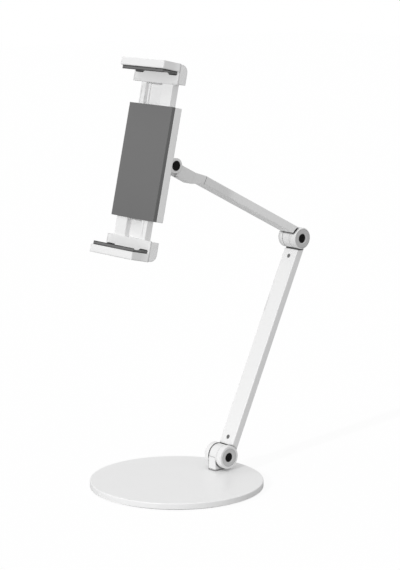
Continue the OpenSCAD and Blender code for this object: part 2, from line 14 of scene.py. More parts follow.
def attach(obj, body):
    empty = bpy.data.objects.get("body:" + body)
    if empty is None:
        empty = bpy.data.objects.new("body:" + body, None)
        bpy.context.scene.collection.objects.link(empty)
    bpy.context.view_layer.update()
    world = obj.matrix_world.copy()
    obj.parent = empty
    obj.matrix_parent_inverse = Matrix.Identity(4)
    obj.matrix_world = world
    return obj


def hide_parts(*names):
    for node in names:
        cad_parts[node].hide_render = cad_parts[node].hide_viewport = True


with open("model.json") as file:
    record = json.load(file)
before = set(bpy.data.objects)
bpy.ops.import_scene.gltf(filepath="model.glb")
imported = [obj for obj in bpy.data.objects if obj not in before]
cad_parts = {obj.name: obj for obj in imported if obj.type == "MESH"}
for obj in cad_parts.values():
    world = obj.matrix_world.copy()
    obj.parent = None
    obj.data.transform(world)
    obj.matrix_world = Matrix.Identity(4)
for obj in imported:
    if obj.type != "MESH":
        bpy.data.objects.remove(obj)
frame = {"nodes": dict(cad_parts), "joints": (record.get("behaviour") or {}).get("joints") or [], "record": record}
joints = {joint["name"]: joint for joint in frame["joints"]}
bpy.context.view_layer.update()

# %% [markdown]
# Four places matter for new pieces: the lower hinge, the elbow, the tilt hinge and the holder. Their axes
# are already in the frame's joints, so no position is typed twice. The holder leans back, and pieces on it
# are easiest to draw in its own directions: X across, Y back from the face of the pad, Z up. The two arms
# have directions of their own too, with Z along the arm.

# %% Places to build at
MM = 0.001
LOWER_LEAN, UPPER_TURN = 24.8, 63.1


def place_of(name):
    """Where a joint sits, as a move with no turn."""
    return Matrix.Translation(Vector(joints[name]["pos_m"]))


head_back = Vector(joints["head_swivel"]["axis"])
head_up = Vector(joints["upper_jaw_slide"]["axis"])
HEAD = place_of("head_swivel") @ Matrix((Vector((1, 0, 0)), head_back, head_up)).transposed().to_4x4()
LOWER_HINGE = place_of("lower_hinge")
ELBOW = place_of("elbow")
TILT = place_of("head_tilt")
LOWER_ARM = LOWER_HINGE @ Matrix.Rotation(math.radians(-LOWER_LEAN), 4, "X")
UPPER_ARM = ELBOW @ Matrix.Rotation(math.radians(UPPER_TURN), 4, "X")
print("holder at", [round(v, 4) for v in HEAD.translation])

# %% [markdown]
# The pictures are taken with the photograph's own perspective: a long lens from about 2.4 metres, a little
# above the holder, to the right of the front. A long lens keeps the round base from looking stretched. The
# long side of the picture is the sensor's width.

# %% Camera
CAMERA_AT = (1.7603, -1.4835, 0.6647)
CAMERA_YAW, CAMERA_DOWN, CAMERA_ROLL = 49.221, 10.572, 0.105
FOCAL_PIXELS, LONG_SIDE, SENSOR_MM = 2068.0, 570, 36

camera_data = bpy.data.cameras.new("photo_camera")
camera = bpy.data.objects.new("photo_camera", camera_data)
bpy.context.scene.collection.objects.link(camera)
camera_data.sensor_fit = "AUTO"
camera_data.sensor_width = SENSOR_MM
camera_data.lens = SENSOR_MM * FOCAL_PIXELS / LONG_SIDE
camera_data.clip_end = 50
camera.matrix_world = (
    Matrix.Translation(CAMERA_AT)
    @ Matrix.Rotation(math.radians(CAMERA_YAW), 4, "Z")
    @ Matrix.Rotation(math.radians(90 - CAMERA_DOWN), 4, "X")
    @ Matrix.Rotation(math.radians(CAMERA_ROLL), 4, "Z")
)
bpy.context.scene.camera = camera
print("lens", round(camera_data.lens, 1), "mm")

# %% [markdown]
# Light and finishes are both built from nodes. These helpers make a node with its values set, start an
# empty tree, and show the camera something else than the light meets, which backdrop and floor need.

# %% Helpers for nodes
def set_inputs(node, values):
    """Set a node's inputs by name, where an underscore stands for a space."""
    for name, value in values.items():
        node.inputs[name.replace("_", " ")].default_value = value
    return node


def new_node(tree, kind, **values):
    """A node of that kind with the named input values set."""
    return set_inputs(tree.nodes.new(kind), values)


def empty_tree(owner):
    """The emptied node tree of a world or a material."""
    owner.use_nodes = True
    owner.node_tree.nodes.clear()
    return owner.node_tree


def split_by_camera(tree, seen, unseen, output):
    """The camera sees one shader, and every other ray meets the other one."""
    path = tree.nodes.new("ShaderNodeLightPath")
    mix = tree.nodes.new("ShaderNodeMixShader")
    tree.links.new(path.outputs["Is Camera Ray"], mix.inputs[0])
    tree.links.new(unseen.outputs[0], mix.inputs[1])
    tree.links.new(seen.outputs[0], mix.inputs[2])
    tree.links.new(mix.outputs[0], output.inputs[0])

# %% [markdown]
# White things are judged by the small steps between their greys. A bright even world gives every face
# its base level. A small hard lamp low in front lifts the fronts and throws the crisp shadow of the lower
# hinge on the base, and a very wide one above lifts all that looks up without a shadow of its own. The
# camera itself sees plain white behind.

# %% World and lamps
scene = bpy.context.scene
scene.view_settings.view_transform = "Standard"
WHITE, WORLD_LEVEL = (1, 1, 1, 1), 0.61
# Power, the direction it shines from, and how wide it looks in degrees
LAMPS = {"key": (1.38, (0.21, -0.90, 0.38), 1.5), "top": (0.58, (-0.2, -0.1, 1.0), 80)}

scene.world = bpy.data.worlds.new("studio")
tree = empty_tree(scene.world)
split_by_camera(
    tree,
    seen=new_node(tree, "ShaderNodeBackground", Color=WHITE, Strength=1.0),
    unseen=new_node(tree, "ShaderNodeBackground", Color=WHITE, Strength=WORLD_LEVEL),
    output=tree.nodes.new("ShaderNodeOutputWorld"),
)

for name, (power, shines_from, wide) in LAMPS.items():
    lamp_data = bpy.data.lights.new(name, "SUN")
    lamp_data.energy = power
    lamp_data.angle = math.radians(wide)
    lamp = bpy.data.objects.new(name, lamp_data)
    lamp.matrix_world = Vector(shines_from).to_track_quat("Z", "Y").to_matrix().to_4x4()
    scene.collection.objects.link(lamp)
print("lamps", list(LAMPS))

# %% [markdown]
# Every finish here is made from a few effects: a fine grain from the mould or the powder coat, a slow drift
# in tone and gloss that no real surface is without, and painted shade along each seam and inside each narrow
# gap. Each effect is a node group with named inputs, built once, so that a finish is only a set of numbers.
# Sizes are real: a grain is given in millimetres.

# %% Helpers for effects
PLACE_IN, COLOUR_IN = ("Vector", "NodeSocketVector", (0, 0, 0)), ("Color", "NodeSocketColor", WHITE)


def effect_group(name, inputs, outputs):
    """An empty shader group with those sockets, and its input and output nodes."""
    group = bpy.data.node_groups.new(name, "ShaderNodeTree")
    for socket, kind, value in inputs:
        group.interface.new_socket(name=socket, in_out="INPUT", socket_type=kind).default_value = value
    for socket, kind in outputs:
        group.interface.new_socket(name=socket, in_out="OUTPUT", socket_type=kind)
    return group, group.nodes.new("NodeGroupInput"), group.nodes.new("NodeGroupOutput")


def math_node(tree, operation, a, b):
    """The result of a math node; a and b are sockets or plain numbers."""
    node = tree.nodes.new("ShaderNodeMath")
    node.operation = operation
    for slot, value in enumerate((a, b)):
        if isinstance(value, (int, float)):
            node.inputs[slot].default_value = value
        else:
            tree.links.new(value, node.inputs[slot])
    return node.outputs[0]

# %% [markdown]
# Powder coat and moulded plastic both show small soft bumps. A noise gives their uneven height and a cell
# pattern gives their rounded tops. Mixed, they read as a satin skin and not as sand.

# %% Effect: fine grain
def make_grain():
    """Small bumps, with the noise behind them as a speckle."""
    tree, inp, out = effect_group(
        "fine_grain",
        [PLACE_IN, ("Grain mm", "NodeSocketFloat", 0.4), ("Round", "NodeSocketFloat", 0.5)],
        [("Height", "NodeSocketFloat"), ("Speckle", "NodeSocketFloat")],
    )
    per_metre = math_node(tree, "DIVIDE", 1000.0, inp.outputs["Grain mm"])
    noise = new_node(tree, "ShaderNodeTexNoise", Detail=3.0, Roughness=0.55)
    cells = tree.nodes.new("ShaderNodeTexVoronoi")
    cells.feature = "SMOOTH_F1"
    for texture in (noise, cells):
        tree.links.new(inp.outputs["Vector"], texture.inputs["Vector"])
        tree.links.new(per_metre, texture.inputs["Scale"])
    tops = math_node(tree, "SUBTRACT", 1.0, cells.outputs["Distance"])
    blend = tree.nodes.new("ShaderNodeMix")
    tree.links.new(inp.outputs["Round"], blend.inputs["Factor"])
    tree.links.new(noise.outputs["Fac"], blend.inputs["A"])
    tree.links.new(tops, blend.inputs["B"])
    tree.links.new(blend.outputs["Result"], out.inputs["Height"])
    tree.links.new(noise.outputs["Fac"], out.inputs["Speckle"])
    return tree


GRAIN = make_grain()
print("effect", GRAIN.name)

# %% [markdown]
# Hands, packing and the paint line leave faint patches, a little lighter or glossier than the rest. A slow
# noise a few centimetres across moves the colour by a part or two in a hundred at most, and the roughness
# a little more. It can't be pointed at, yet without it a large white face looks computed.

# %% Effect: slow drift
def scaled(tree, colour, level):
    """A colour made lighter or darker by a level."""
    node = tree.nodes.new("ShaderNodeVectorMath")
    node.operation = "SCALE"
    tree.links.new(colour, node.inputs[0])
    tree.links.new(level, node.inputs["Scale"])
    return node.outputs[0]


def make_drift():
    """Wide patches in tone and gloss, and a speckle where one is asked for."""
    tree, inp, out = effect_group(
        "slow_drift",
        [PLACE_IN, COLOUR_IN, ("Shift", "NodeSocketFloat", 0.02), ("Roughness", "NodeSocketFloat", 0.4),
         ("Spread", "NodeSocketFloat", 0.08), ("Speckle", "NodeSocketFloat", 0.5),
         ("Speckle Shift", "NodeSocketFloat", 0.0)],
        [("Color", "NodeSocketColor"), ("Roughness", "NodeSocketFloat")],
    )
    patches = new_node(tree, "ShaderNodeTexNoise", Scale=22.0, Detail=3.0, Roughness=0.5)
    tree.links.new(inp.outputs["Vector"], patches.inputs["Vector"])
    offset = math_node(tree, "SUBTRACT", patches.outputs["Fac"], 0.5)
    tone = math_node(tree, "MULTIPLY", offset, inp.outputs["Shift"])
    dots = math_node(tree, "SUBTRACT", inp.outputs["Speckle"], 0.5)
    dots = math_node(tree, "MULTIPLY", dots, inp.outputs["Speckle Shift"])
    level = math_node(tree, "ADD", math_node(tree, "ADD", tone, dots), 1.0)
    gloss = math_node(tree, "MULTIPLY", offset, inp.outputs["Spread"])
    tree.links.new(scaled(tree, inp.outputs["Color"], level), out.inputs["Color"])
    tree.links.new(math_node(tree, "ADD", gloss, inp.outputs["Roughness"]), out.inputs["Roughness"])
    return tree


DRIFT = make_drift()
print("effect", DRIFT.name)

# %% [markdown]
# Where a cover meets its frame, and wherever else two pieces meet, the shade in the thin gap between them is
# painted as a dark line. It is told by place alone: a band across one direction. The mix node keeps its
# colours on its sockets 6 and 7, and gives the mixed one on socket 2.

# %% Effect: painted shade along a seam
def make_seam_shade():
    """Painted shade: dark within a given distance of a plane that faces a given way."""
    tree, inp, out = effect_group(
        "painted_seam_shade",
        [PLACE_IN, COLOUR_IN, ("Facing", "NodeSocketVector", (1, 0, 0)), ("Place", "NodeSocketFloat", 0.0),
         ("Half Width", "NodeSocketFloat", 0.0002), ("Dark", "NodeSocketFloat", 0.1)],
        [("Color", "NodeSocketColor")],
    )
    along_facing = tree.nodes.new("ShaderNodeVectorMath")
    along_facing.operation = "DOT_PRODUCT"
    tree.links.new(inp.outputs["Vector"], along_facing.inputs[0])
    tree.links.new(inp.outputs["Facing"], along_facing.inputs[1])
    off = math_node(tree, "SUBTRACT", along_facing.outputs["Value"], inp.outputs["Place"])
    off = math_node(tree, "ABSOLUTE", off, 0)
    dark_grey = tree.nodes.new("ShaderNodeCombineColor")
    for channel in ("Red", "Green", "Blue"):
        tree.links.new(inp.outputs["Dark"], dark_grey.inputs[channel])
    mix = tree.nodes.new("ShaderNodeMix")
    mix.data_type = "RGBA"
    tree.links.new(math_node(tree, "LESS_THAN", off, inp.outputs["Half Width"]), mix.inputs[0])
    tree.links.new(inp.outputs["Color"], mix.inputs[6])
    tree.links.new(dark_grey.outputs[0], mix.inputs[7])
    tree.links.new(mix.outputs[2], out.inputs["Color"])
    return tree


SEAM_SHADE = make_seam_shade()
print("effect", SEAM_SHADE.name)

# %% [markdown]
# Inside every narrow gap the shade is painted into the coat's colour. A gap is told by how far the surface is
# shut in by its neighbours within three millimetres.

# %% Effect: shade of gaps
def make_shade():
    """Darker the more the surface is shut in by what stands within reach."""
    tree, inp, out = effect_group(
        "gap_shade",
        [COLOUR_IN, ("Reach", "NodeSocketFloat", 0.003), ("Strength", "NodeSocketFloat", 1.5)],
        [("Color", "NodeSocketColor")],
    )
    openness = tree.nodes.new("ShaderNodeAmbientOcclusion")
    openness.samples = 8
    tree.links.new(inp.outputs["Reach"], openness.inputs["Distance"])
    level = math_node(tree, "POWER", openness.outputs["AO"], inp.outputs["Strength"])
    tree.links.new(scaled(tree, inp.outputs["Color"], level), out.inputs["Color"])
    return tree


SHADE = make_shade()
print("effect", SHADE.name)

# %% [markdown]
# Painted shade along a seam and painted shade inside a narrow gap are laid over a colour, each as one more
# layer, and only where a finish asks for them. A soft edge changes no shape: it lets the light run over a
# sharp corner as if it were rounded, as the corners of moulded plastic and of thick paint are.

# %% Helpers for layers
def use_effect(tree, group, **values):
    """A group node for one effect, with the named input values set."""
    node = tree.nodes.new("ShaderNodeGroup")
    node.node_tree = group
    return set_inputs(node, values)


def add_seam_shades(tree, where, colour, seam_shades):
    """Lay thin dark lines of painted shade over a colour, one after another."""
    for place, facing, half_width, dark in seam_shades:
        line = use_effect(tree, SEAM_SHADE, Facing=facing, Place=place, Half_Width=half_width * MM, Dark=dark)
        tree.links.new(where, line.inputs["Vector"])
        tree.links.new(colour, line.inputs["Color"])
        colour = line.outputs["Color"]
    return colour


def add_shade(tree, colour, painted_gap_shade):
    """Darken a colour with painted shade where a narrow gap shuts the surface in."""
    shade = use_effect(tree, SHADE, Strength=painted_gap_shade)
    tree.links.new(colour, shade.inputs["Color"])
    return shade.outputs["Color"]


def soften_edges(tree, bump, edge_mm):
    """Feed a bump with normals that run round the edges."""
    edge = new_node(tree, "ShaderNodeBevel", Radius=edge_mm * MM)
    edge.samples = 6
    tree.links.new(edge.outputs["Normal"], bump.inputs["Normal"])

# %% [markdown]
# A finish is now one call. The grain drives a bump with its real height in millimetres, the drift drives
# colour and roughness, and everything that is the same all over stays on the shader's own sockets.

# %% Helper for finishes
def finish(name, colour, roughness, grain_mm, depth_mm, shift=0.02, spread=0.08, dots=0.0, round_tops=0.5,
           seam_shades=(), painted_gap_shade=0.0, edge_mm=0.0, **plain):
    """A material from its colour, gloss and grain; plain holds the shader's own constant inputs."""
    material = bpy.data.materials.new(name)
    tree = empty_tree(material)
    output = tree.nodes.new("ShaderNodeOutputMaterial")
    shader = new_node(tree, "ShaderNodeBsdfPrincipled", **plain)
    where = tree.nodes.new("ShaderNodeTexCoord").outputs["Object"]
    grain = use_effect(tree, GRAIN, Grain_mm=grain_mm, Round=round_tops)
    drift = use_effect(tree, DRIFT, Color=(*colour, 1), Shift=shift, Roughness=roughness, Spread=spread,
                       Speckle_Shift=dots)
    bump = new_node(tree, "ShaderNodeBump", Strength=1.0, Distance=depth_mm * MM)
    for effect in (grain, drift):
        tree.links.new(where, effect.inputs["Vector"])
    tree.links.new(grain.outputs["Speckle"], drift.inputs["Speckle"])
    # Painted shade: dark lines along each seam, then darkening wherever a narrow gap shuts the surface in.
    tone = add_seam_shades(tree, where, drift.outputs["Color"], seam_shades)
    if painted_gap_shade:
        tone = add_shade(tree, tone, painted_gap_shade)
    if edge_mm:
        soften_edges(tree, bump, edge_mm)
    tree.links.new(tone, shader.inputs["Base Color"])
    tree.links.new(drift.outputs["Roughness"], shader.inputs["Roughness"])
    tree.links.new(grain.outputs["Height"], bump.inputs["Height"])
    tree.links.new(bump.outputs["Normal"], shader.inputs["Normal"])
    tree.links.new(shader.outputs[0], output.inputs[0])
    return material

# %% [markdown]
# The dark lines are painted shade in the thin gap where pieces meet: at the end of the upper tube, on both
# sides of the hinges' middle discs, and where each jaw's rear cover closes its frame. Two more lines of
# painted shade border the bead of each lining. The measures are in millimetres. Heights on the holder are
# counted from its middle, and a jaw's shelf is the face that its lining lies on.

# %% Where the painted shade lines are
UPPER_LEN, NECK_LEN, KNUCKLE_HALF = 216, 46, 6.9
HOLDER_HALF_H, UPPER_OUT, LOWER_OUT, SHELF_OUT = 63.5, 24.3, 21.2, 14.4
UPPER_SHELF = HOLDER_HALF_H + UPPER_OUT + SHELF_OUT
LOWER_SHELF = HOLDER_HALF_H + LOWER_OUT + SHELF_OUT
COVER_FRONT, BEAD_UP = 1.4, 4.0


def line_at(frame_matrix, axis, place, half_width, dark):
    """A line across an axis of a frame; its place and half width in millimetres, and its grey."""
    facing, point = Vector((0, 0, 0)), Vector((0, 0, 0))
    facing[axis], point[axis] = 1, place * MM
    facing = frame_matrix.to_3x3() @ facing
    return facing.dot(frame_matrix @ point), facing, half_width, dark


neck_seam_shade = line_at(UPPER_ARM, 2, UPPER_LEN - NECK_LEN, 0.35, 0.3)
disc_seam_shades = [line_at(ELBOW, 0, -KNUCKLE_HALF, 0.3, 0.12), line_at(ELBOW, 0, KNUCKLE_HALF, 0.12, 0.4)]
cover_seam_shade = line_at(HEAD, 1, COVER_FRONT, 0.3, 0.42)
lining_edge_shades = [line_at(HEAD, 2, side * (shelf - up), 0.8, 0.03)
                  for side, shelf in ((1, UPPER_SHELF), (-1, LOWER_SHELF)) for up in (0, BEAD_UP)]
print("from shelf to shelf", round(UPPER_SHELF + LOWER_SHELF, 1), "mm")

# %% [markdown]
# The base and the arms are metal in a white powder coat, the holder and its jaws are white plastic from a
# mould, and the jaws' rear covers have a coarser spark-eroded grain. Pad and linings are grey silicone, which
# hardly shines. Rings, plugs and screws are the small dark and grey notes. The whites differ a little, each
# set so that its faces read as they do in the picture: the steps between them are painted light and shade,
# each white a lighter or darker copy of its material's white.

# %% The finishes
def grey(level):
    """The same value for red, green and blue."""
    return (level, level, level)


COAT = dict(roughness=0.36, grain_mm=0.55, depth_mm=0.012, spread=0.06, edge_mm=0.5, Coat_Weight=0.12,
            Coat_Roughness=0.3)
FINE_COAT = COAT | dict(grain_mm=0.4, depth_mm=0.008)
MOULDED = dict(roughness=0.42, grain_mm=0.3, depth_mm=0.008)
SILICONE = dict(grain_mm=0.35, depth_mm=0.012, shift=0.05, dots=0.06)

# Each white level below is a lighter or darker copy of its material's white: painted light and shade.
base_coat = finish("white_powder_coat", grey(0.89), **COAT)
# Painted shade darkens the arms' white in every narrow gap.
arm_coat = finish("white_arm_coat", grey(0.82), painted_gap_shade=1.5, **COAT)
rail_coat = finish("white_rail_coat", grey(0.86), **FINE_COAT)
# A lighter copy of the arms' white, painted light, with painted shade at the neck's seam and in every narrow gap.
lit_neck_coat = finish("lit_white_neck_coat", grey(0.89), painted_gap_shade=1.5, seam_shades=[neck_seam_shade], **COAT)
# A darker copy of the arms' white, painted shade, with painted shade lines by the middle discs and in every gap.
shaded_hinge_coat = finish("shaded_white_hinge_coat", grey(0.79), painted_gap_shade=3.0, seam_shades=disc_seam_shades, **COAT)
plastic = finish("white_plastic", grey(0.87), edge_mm=1.2, **MOULDED)
# A darker copy of the holder's white plastic: painted shade on the jaw frames.
shaded_jaw_plastic = finish("shaded_white_jaw_plastic", grey(0.83), edge_mm=2.4, **MOULDED)
# A painted shade line where each jaw's rear cover meets its frame.
cover_plastic = finish("grained_plastic", grey(0.89), 0.55, 1.1, 0.05, shift=0.03, dots=0.6, round_tops=0.3,
                       seam_shades=[cover_seam_shade], edge_mm=1.2)
silicone = finish("grey_silicone", grey(0.15), roughness=0.72, **SILICONE)
# Painted shade lines along the lining's foot and the top of its bead, and painted shade in every narrow gap.
lining_silicone = finish("lining_silicone", grey(0.15), roughness=0.66, painted_gap_shade=0.5, seam_shades=lining_edge_shades,
                         **SILICONE)
trim = finish("grey_trim", grey(0.55), 0.38, 0.3, 0.006)
black = finish("black_plastic", grey(0.004), 0.55, 0.3, 0.006, Specular_IOR_Level=0.15)
steel = finish("zinc_steel", grey(0.6), 0.3, 0.12, 0.004, Metallic=1.0)
dark_steel = finish("blackened_steel", grey(0.28), 0.38, 0.12, 0.004, Metallic=0.8)
washer = finish("dark_washer", grey(0.05), 0.45, 0.2, 0.004)
acetal = finish("natural_acetal", (0.82, 0.79, 0.71), 0.35, 0.3, 0.004)
print("finishes", len(bpy.data.materials))

# %% [markdown]
# The record names a slot for every node, and a slot stands for one finish. A few nodes then get a finish of
# their own, because they carry painted shade lines at a seam, or because their white, a lighter or darker
# copy that is painted light and shade, differs from the rest of the slot.

# %% Dress the nodes
BY_SLOT = {
    "white_steel": base_coat, "white_aluminium": arm_coat, "white_plastic": plastic, "grey_rubber": silicone,
    "grey_trim": trim, "black_plastic": black, "steel": steel, "dark_steel": dark_steel,
    "friction_washer": washer, "ivory_plastic": acetal,
}
OWN_FINISH = (
    (cover_plastic, ("upper_jaw_cover", "lower_jaw_cover")),
    (shaded_hinge_coat, ("pivot_lug", "lower_fork", "elbow_fork", "elbow_tongue")),
    (lit_neck_coat, ("upper_tube", "neck_fork")),
    (rail_coat, ("upper_rail", "lower_rail")),
    (shaded_jaw_plastic, ("upper_jaw_frame", "lower_jaw_frame")),
)


def dress(obj, material):
    """Give every material slot of an object that finish."""
    if not obj.material_slots:
        obj.data.materials.append(material)
    for slot in obj.material_slots:
        slot.material = material


for part in frame["record"]["subparts"]:
    dress(frame["nodes"][part["node"]], BY_SLOT[part["material_slot"]])
for material, nodes in OWN_FINISH:
    for node in nodes:
        dress(frame["nodes"][node], material)

# %% [markdown]
# The rest of the stand's character is in small shaped pieces: the pad, the jaws' linings, turned rings and
# caps, screws with a driver's cross. Each is modelled in millimetres in its own simple directions and put
# in place at the end. Faces and edges are picked by where they lie, as one would click them by hand.

# %% Helpers for picking
NEAR = 0.01


def choose(obj, kind, test):
    """Select only the faces or edges that pass the test."""
    bpy.ops.mesh.select_mode(type=kind)
    bpy.ops.mesh.select_all(action="DESELECT")
    mesh = bmesh.from_edit_mesh(obj.data)
    items = mesh.faces if kind == "FACE" else mesh.edges
    for item in [item for item in items if test(item)]:
        item.select_set(True)
    mesh.select_flush_mode()
    bmesh.update_edit_mesh(obj.data)


def at(item):
    """The middle of a face or an edge."""
    return sum((v.co for v in item.verts), Vector()) / len(item.verts)


def looks(face, axis, way=1):
    """Whether a face looks along an axis, or against it."""
    return way * face.normal[axis] > 0.9


def along(edge, axis, share=0.99):
    """Whether an edge runs along an axis."""
    run = edge.verts[1].co - edge.verts[0].co
    return abs(run[axis]) > share * run.length


def outermost(value, limit):
    """Whether a coordinate lies at a limit, on either side of the middle."""
    return abs(value) > limit - NEAR

# %% [markdown]
# A block is cut by planes, and parts of it are pulled out and rounded, all in edit mode. These four helpers
# do most of the work on the pad and the linings.

# %% Helpers for shaping
def start_block(name, low, high):
    """A block between two corners, in edit mode."""
    bpy.ops.object.select_all(action="DESELECT")
    size = [b - a for a, b in zip(low, high)]
    middle = [(a + b) / 2 for a, b in zip(low, high)]
    bpy.ops.mesh.primitive_cube_add(size=1, location=middle)
    obj = bpy.context.object
    obj.name = name
    obj.scale = size
    bpy.ops.object.transform_apply(location=True, rotation=True, scale=True)
    bpy.ops.object.mode_set(mode="EDIT")
    return obj


def cut(axis, place):
    """Cut everything with a plane across that axis."""
    bpy.ops.mesh.select_all(action="SELECT")
    normal, point = [0, 0, 0], [0, 0, 0]
    normal[axis], point[axis] = 1, place
    bpy.ops.mesh.bisect(plane_co=point, plane_no=normal)


def pull(x, y, z):
    """Extrude what is selected by a move."""
    bpy.ops.mesh.extrude_region_move(TRANSFORM_OT_translate={"value": (x, y, z)})


def bevel(size, segments=3):
    """Round what is selected."""
    bpy.ops.mesh.bevel(offset=size, segments=segments, affect="EDGES", clamp_overlap=True)

# %% [markdown]
# A shaped piece is cleaned first: doubled corners are merged and its faces turned outwards. Then it settles
# at its place in metres, and says which body it rides on and which nodes it stands for.

# %% Helpers for placing
SMOOTH_BELOW = 35


def settle(obj, matrix, material, smooth=SMOOTH_BELOW):
    """Leave edit mode, put the millimetre model in place and give it its finish."""
    bpy.ops.mesh.select_all(action="SELECT")
    bpy.ops.mesh.remove_doubles(threshold=0.0005)
    bpy.ops.mesh.normals_make_consistent(inside=False)
    bpy.ops.object.mode_set(mode="OBJECT")
    obj.matrix_world = matrix @ Matrix.Scale(MM, 4)
    bpy.ops.object.transform_apply(location=True, rotation=True, scale=True)
    bpy.ops.object.shade_smooth_by_angle(angle=math.radians(smooth))
    dress(obj, material)


def stand_for(obj, body, slot, *nodes):
    """The piece rides on a body and stands for those CAD nodes, which are hidden; its slot is not used."""
    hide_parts(*nodes)
    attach(obj, body)
    print(obj.name, "faces", len(obj.data.polygons))

# %% [markdown]
# The pad is a sheet of silicone stretched over the front of the holder and round its two sides, where it
# ends in a step. A thin block is the sheet. Two cuts mark the strips at its sides, which are pulled back to
# make the sides of the pad, and a small round on all outer edges catches the light as moulded rubber does.

# %% Back pad
PAD_HALF_W, PAD_SHEET, PAD_SIDE, PAD_DEEP = 36.9, 1.3, 1.0, 4.7
PAD_EDGE_ROUND, PAD_CORNER_ROUND = 0.45, 0.5


def at_pad_side(edge):
    """Whether an edge lies at the pad's left or right."""
    return outermost(at(edge).x, PAD_HALF_W)


def at_pad_end(edge):
    """Whether an edge lies at the pad's top or bottom."""
    return outermost(at(edge).z, HOLDER_HALF_H)


pad = start_block("pad", (-PAD_HALF_W, 0, -HOLDER_HALF_H), (PAD_HALF_W, PAD_SHEET, HOLDER_HALF_H))
for side in (-1, 1):
    cut(0, side * (PAD_HALF_W - PAD_SIDE))
choose(pad, "FACE", lambda f: looks(f, 1) and abs(at(f).x) > PAD_HALF_W - PAD_SIDE)
pull(0, PAD_DEEP - PAD_SHEET, 0)
choose(pad, "EDGE", lambda e: at(e).y < NEAR and (at_pad_side(e) or at_pad_end(e)))
bevel(PAD_EDGE_ROUND)
choose(pad, "EDGE", lambda e: at_pad_side(e) and at_pad_end(e) and along(e, 1))
bevel(PAD_CORNER_ROUND)
settle(pad, HEAD, silicone)
stand_for(pad, "holder", "grey_rubber", "back_pad")

# %% [markdown]
# Each jaw is lined with a moulded silicone strip that lies on its shelf. In front it rises to a soft bead
# that keeps the tablet from sliding out, a wedge runs down from the bead, and at the back two tabs stand up
# against the wall. Heights are counted from the shelf.

# %% Measures and helpers for the linings
LIP_FRONT, WALL_FACE = -22.3, 0.8
LINING_FRONT, LINING_REAR = LIP_FRONT + 1.6, WALL_FACE - 0.1
LINING_HALF, LINING_LOW, LINING_FOOT = 34.8, 2.0, 0.05
BEAD_END, WEDGE_END = LINING_FRONT + 1.2, LINING_FRONT + 4.3
TAB_UP, TAB_FRONT, TAB_FOOT, TAB_TOP = 4.3, LINING_REAR - 1.8, 20.5, 24.0
TAB_ROUND, END_ROUND, RIM_ROUND = 1.6, 1.5, 0.35
SHARP_EDGE = 0.6


def on_tab_top(edge):
    """Whether an edge runs back over the top of a tab."""
    return along(edge, 1, 0.9) and at(edge).z > TAB_UP - NEAR


def at_lining_end(edge):
    """Whether an edge lies at the strip's left or right end."""
    return outermost(at(edge).x, LINING_HALF)


def copy_to(obj, name, move):
    """A copy with its own mesh, moved by a matrix in the object's own space."""
    twin = obj.copy()
    twin.data = obj.data.copy()
    twin.name = name
    twin.data.transform(move)
    bpy.context.scene.collection.objects.link(twin)
    return twin

# %% [markdown]
# The strip is one block: cuts divide it, the bead and the tabs are pulled up from its top, and the ends are
# rounded. The upper jaw's lining is the same strip, turned over, with its own mesh.

# %% Jaw linings
lining = start_block("lower_lining", (-LINING_HALF, LINING_FRONT, LINING_FOOT),
                     (LINING_HALF, LINING_REAR, LINING_LOW))
for place in (BEAD_END, WEDGE_END, TAB_FRONT):
    cut(1, place)
choose(lining, "FACE", lambda f: looks(f, 2) and at(f).y < BEAD_END)
bpy.ops.transform.translate(value=(0, 0, BEAD_UP - LINING_LOW))
for side in (-1, 1):
    cut(0, side * TAB_FOOT)
choose(lining, "FACE", lambda f: looks(f, 2) and at(f).y > TAB_FRONT and abs(at(f).x) > TAB_FOOT)
pull(0, 0, TAB_UP - LINING_LOW)
for side in (-1, 1):
    choose(lining, "EDGE", lambda e: on_tab_top(e) and abs(at(e).x - side * TAB_FOOT) < NEAR)
    bpy.ops.transform.translate(value=(side * (TAB_TOP - TAB_FOOT), 0, 0))
choose(lining, "EDGE", lambda e: on_tab_top(e) and at_lining_end(e))
bevel(TAB_ROUND, 4)
choose(lining, "EDGE", lambda e: along(e, 2, 0.9) and at_lining_end(e) and at(e).y < LINING_FRONT + NEAR)
bevel(END_ROUND, 4)
choose(lining, "EDGE", lambda e: e.is_manifold and at(e).z > LINING_LOW / 2
       and e.calc_face_angle(0) > SHARP_EDGE)
bevel(RIM_ROUND, 2)

turn_over = Matrix.Rotation(math.pi, 4, "Y")
lower_place = HEAD @ Matrix.Translation((0, 0, -LOWER_SHELF * MM))
upper_place = HEAD @ turn_over @ Matrix.Translation((0, 0, -UPPER_SHELF * MM))
settle(lining, lower_place, lining_silicone)
upper_lining = copy_to(lining, "upper_lining", upper_place @ lower_place.inverted())
for piece, jaw in ((lining, "lower"), (upper_lining, "upper")):
    stand_for(piece, jaw + "_jaw", "grey_rubber", jaw + "_grip")

# %% [markdown]
# The screws that can be seen have a flat head with a soft rim and a driver's cross. The cross is the one
# place where a cut-out tool pays: two crossed blades are taken out of the head with a boolean.

# %% Helpers for a screw's cross
SHANK_R, BLADE_HALF, BLADE_SHARE, BLADE_FOOT_SHARE = 1.5, 0.26, 0.62, 0.3


def take(obj):
    """Select one object alone and make it the active one."""
    bpy.ops.object.select_all(action="DESELECT")
    obj.select_set(True)
    bpy.context.view_layer.objects.active = obj


